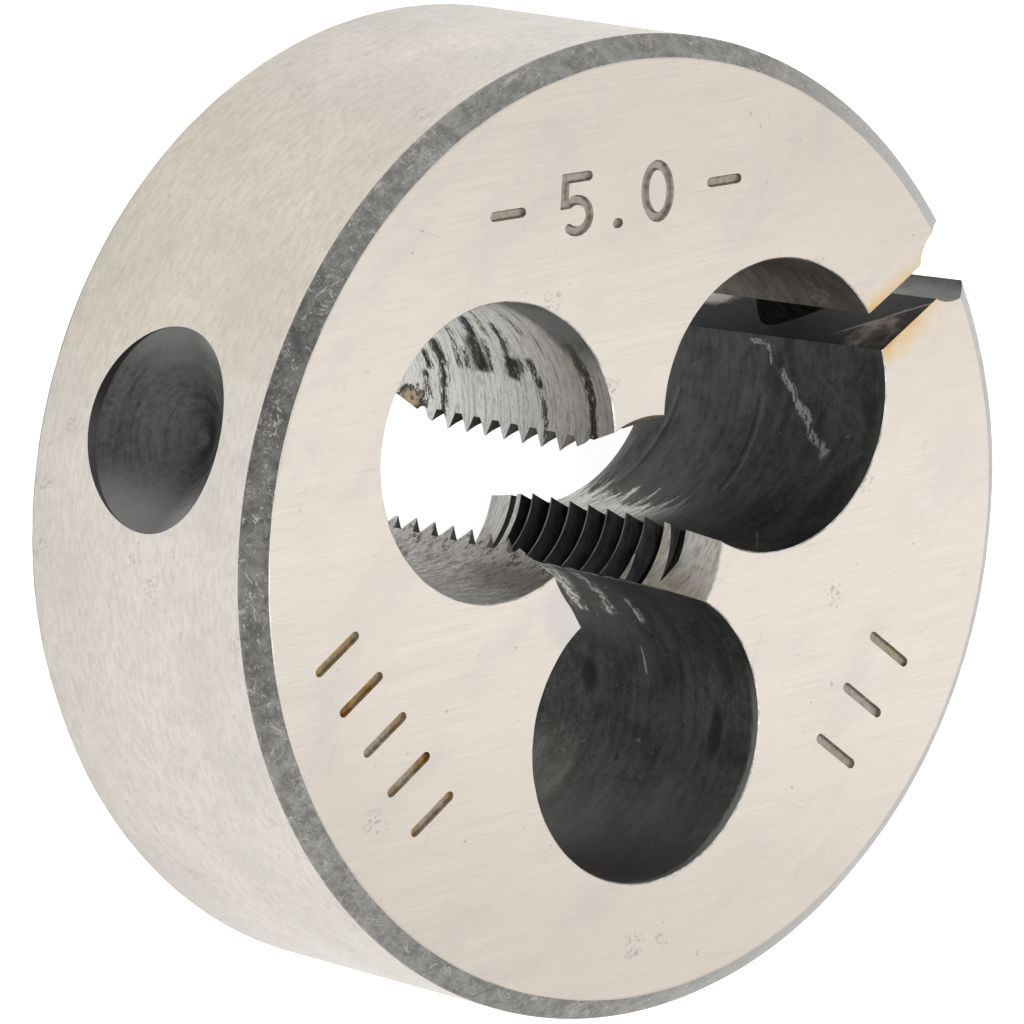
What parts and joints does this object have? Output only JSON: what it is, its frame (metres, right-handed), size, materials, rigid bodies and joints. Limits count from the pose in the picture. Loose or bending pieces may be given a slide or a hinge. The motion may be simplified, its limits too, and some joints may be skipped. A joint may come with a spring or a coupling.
{
  "type": "round threading die",
  "caption": "Slotted round steel die with toothed lands round a threaded bore, chip holes, and a dimple in its rim for the screw of a die stock.",
  "frame": {"origin": "centre of the back face, on the floor that the die lies on", "axes": "+Z is the axis of the thread and points out of the front face, which is up; +X runs from the axis along the slot towards the rim"},
  "size_m": [0.0254, 0.0254, 0.0094],
  "materials": {
    "hardened_steel": "ground faces and rim, dark oxide left in the chip holes, dimple and edge chamfers"
  },
  "bodies": {
    "root": {"threading_die": "hardened_steel"}
  },
  "joints": []
}
